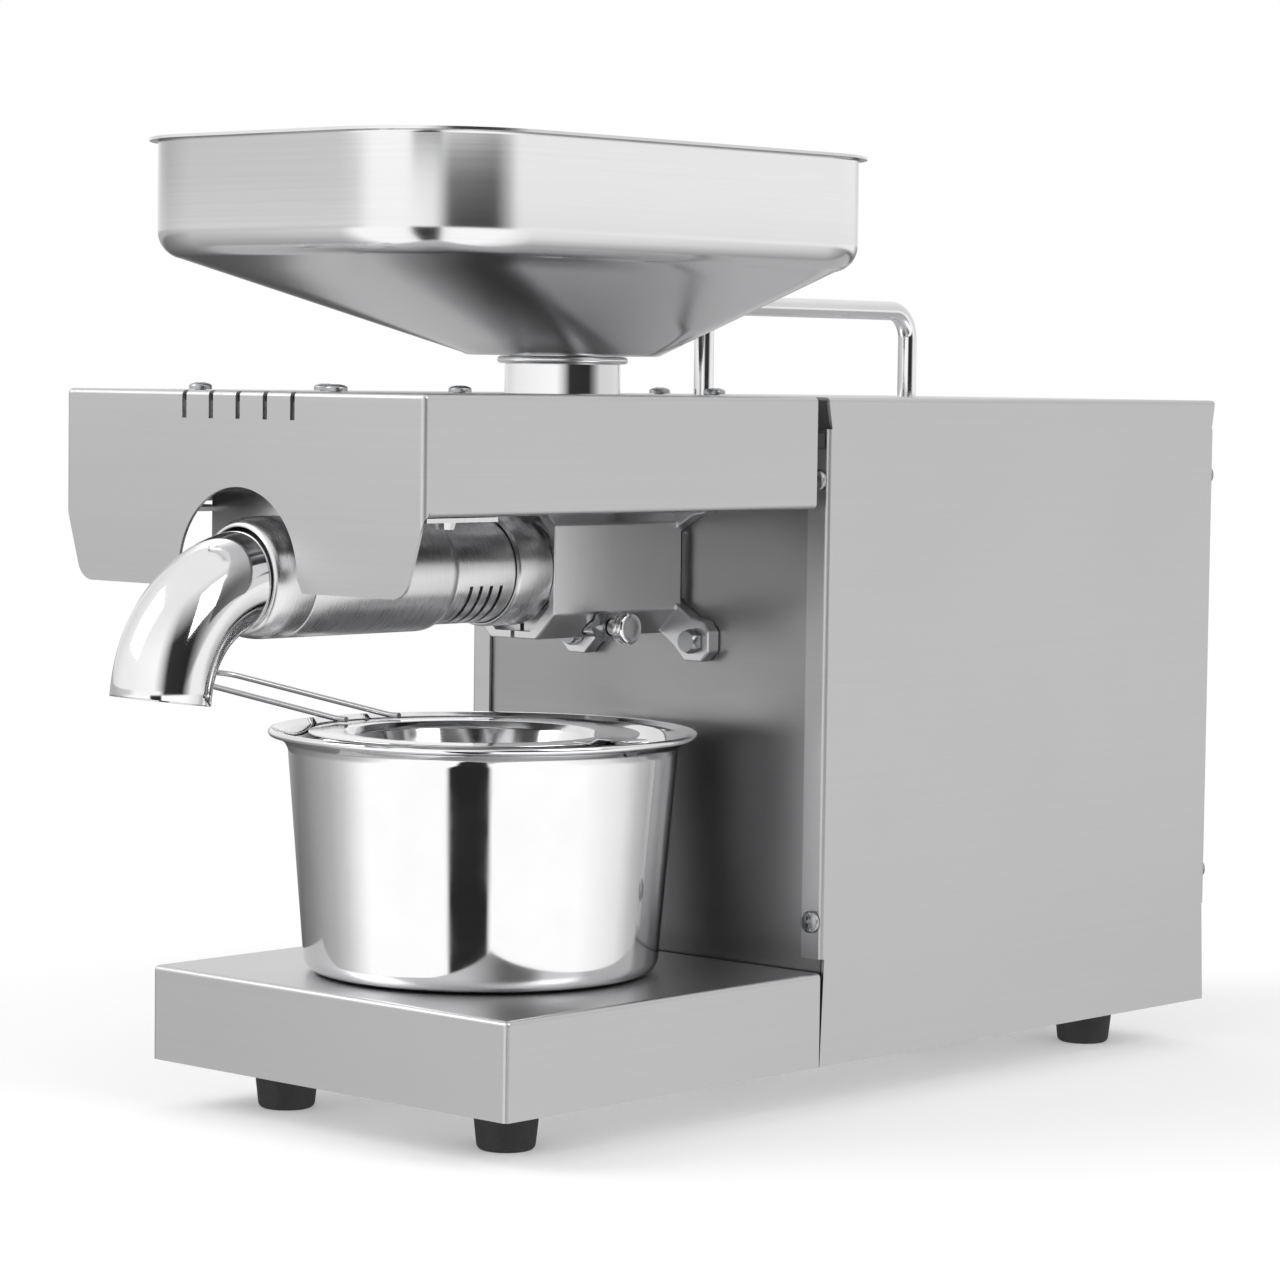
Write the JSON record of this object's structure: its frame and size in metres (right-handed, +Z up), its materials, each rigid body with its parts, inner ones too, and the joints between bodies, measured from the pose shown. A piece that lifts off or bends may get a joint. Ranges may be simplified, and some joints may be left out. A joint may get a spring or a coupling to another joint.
{
  "type": "screw oil press",
  "caption": "Countertop screw oil press: sheet-metal body, hooded press barrel, feed hopper on a neck, curved cake chute, oil pot with a strainer on a low tray, and a carry handle.",
  "frame": {"origin": "on the underside of the bottom plate, in the middle of the footprint; the feet reach below it", "axes": "+Z up, +Y from the chute at the front to the back panel, +X to the right as seen from the front"},
  "size_m": [0.2511, 0.5004, 0.349],
  "materials": {
    "brushed_stainless": "brushed",
    "satin_stainless": "satin",
    "polished_stainless": "polished",
    "black_rubber": "matte",
    "zinc_plated_steel": "satin",
    "cast_aluminium": "cast",
    "motor_enamel": "satin",
    "black_plastic": "satin",
    "bearing_bronze": "satin"
  },
  "bodies": {
    "housing": {"base_tray": "brushed_stainless", "bottom_plate": "satin_stainless", "foot_front_left": "black_rubber", "foot_front_right": "black_rubber", "foot_rear_left": "black_rubber", "foot_rear_right": "black_rubber", "rear_cover": "brushed_stainless", "bulkhead": "brushed_stainless", "back_panel": "brushed_stainless", "flange_screw_1": "zinc_plated_steel", "flange_screw_2": "zinc_plated_steel", "flange_screw_3": "zinc_plated_steel", "flange_screw_4": "zinc_plated_steel", "hood": "brushed_stainless", "hood_beam": "satin_stainless", "hood_screw_1": "zinc_plated_steel", "hood_screw_2": "zinc_plated_steel", "hood_screw_3": "zinc_plated_steel", "hood_screw_4": "zinc_plated_steel", "cover_screw_1": "zinc_plated_steel", "cover_screw_2": "zinc_plated_steel", "gap_pad_left": "black_rubber", "gap_pad_right": "black_rubber", "cross_bracket": "satin_stainless", "chamber_block": "satin_stainless", "flange_bolt_1": "zinc_plated_steel", "flange_bolt_2": "zinc_plated_steel", "flange_bolt_3": "zinc_plated_steel", "flange_bolt_4": "zinc_plated_steel", "feed_neck": "polished_stainless", "shaft_bush": "bearing_bronze", "press_barrel": "satin_stainless", "barrel_collar": "satin_stainless", "front_tube": "satin_stainless", "choke_ring": "satin_stainless", "end_cap": "satin_stainless", "clamp_nut": "zinc_plated_steel", "gearbox": "cast_aluminium", "motor": "motor_enamel", "motor_cradle": "zinc_plated_steel", "control_box": "black_plastic", "carry_handle": "polished_stainless", "power_inlet": "black_plastic", "power_bezel": "black_plastic", "direction_bezel": "black_plastic"},
    "screw_line": {"press_screw": "polished_stainless", "drive_shaft": "zinc_plated_steel", "drive_coupling": "zinc_plated_steel"},
    "fan": {"cooling_fan": "black_plastic", "motor_shaft": "zinc_plated_steel"},
    "hopper_set": {"hopper": "brushed_stainless", "hopper_collar": "polished_stainless"},
    "chute": {"discharge_chute": "polished_stainless"},
    "clamp": {"clamp_screw": "polished_stainless"},
    "pot": {"oil_pot": "polished_stainless"},
    "strainer": {"strainer_rim": "polished_stainless", "strainer_mesh": "satin_stainless", "strainer_handle": "polished_stainless"},
    "power_switch": {"power_rocker": "black_plastic"},
    "direction_switch": {"direction_rocker": "black_plastic"}
  },
  "joints": [
    {"name": "screw_spin", "type": "hinge", "parent": "housing", "child": "screw_line", "pos_m": [0, -0.13, 0.18], "axis": [0, 1, 0], "continuous": true},
    {"name": "fan_spin", "type": "hinge", "parent": "housing", "child": "fan", "pos_m": [0, 0.125, 0.125], "axis": [0, 1, 0], "continuous": true},
    {"name": "hopper_lift", "type": "slide", "parent": "housing", "child": "hopper_set", "axis": [0, 0, 1], "range_m": [0, 0.1]},
    {"name": "chute_swivel", "type": "hinge", "parent": "housing", "child": "chute", "pos_m": [0, -0.2265, 0.18], "axis": [0, 1, 0], "range_deg": [-60, 60]},
    {"name": "clamp_turn", "type": "hinge", "parent": "housing", "child": "clamp", "pos_m": [0.021, -0.0852, 0.159], "axis": [1, 0, 0], "range_deg": [0, 720]},
    {"name": "pot_slide", "type": "slide", "parent": "housing", "child": "pot", "axis": [-1, 0, 0], "range_m": [0, 0.18]},
    {"name": "strainer_lift", "type": "slide", "parent": "pot", "child": "strainer", "axis": [0, 0, 1], "range_m": [0, 0.025]},
    {"name": "power_rock", "type": "hinge", "parent": "housing", "child": "power_switch", "pos_m": [-0.045, 0.2008, 0.045], "axis": [1, 0, 0], "range_deg": [-16, 0]},
    {"name": "direction_rock", "type": "hinge", "parent": "housing", "child": "direction_switch", "pos_m": [0, 0.2008, 0.045], "axis": [1, 0, 0], "range_deg": [-8, 8]}
  ],
  "couplings": [
    {"joint": "fan_spin", "follows": "screw_spin", "ratio": 24}
  ]
}
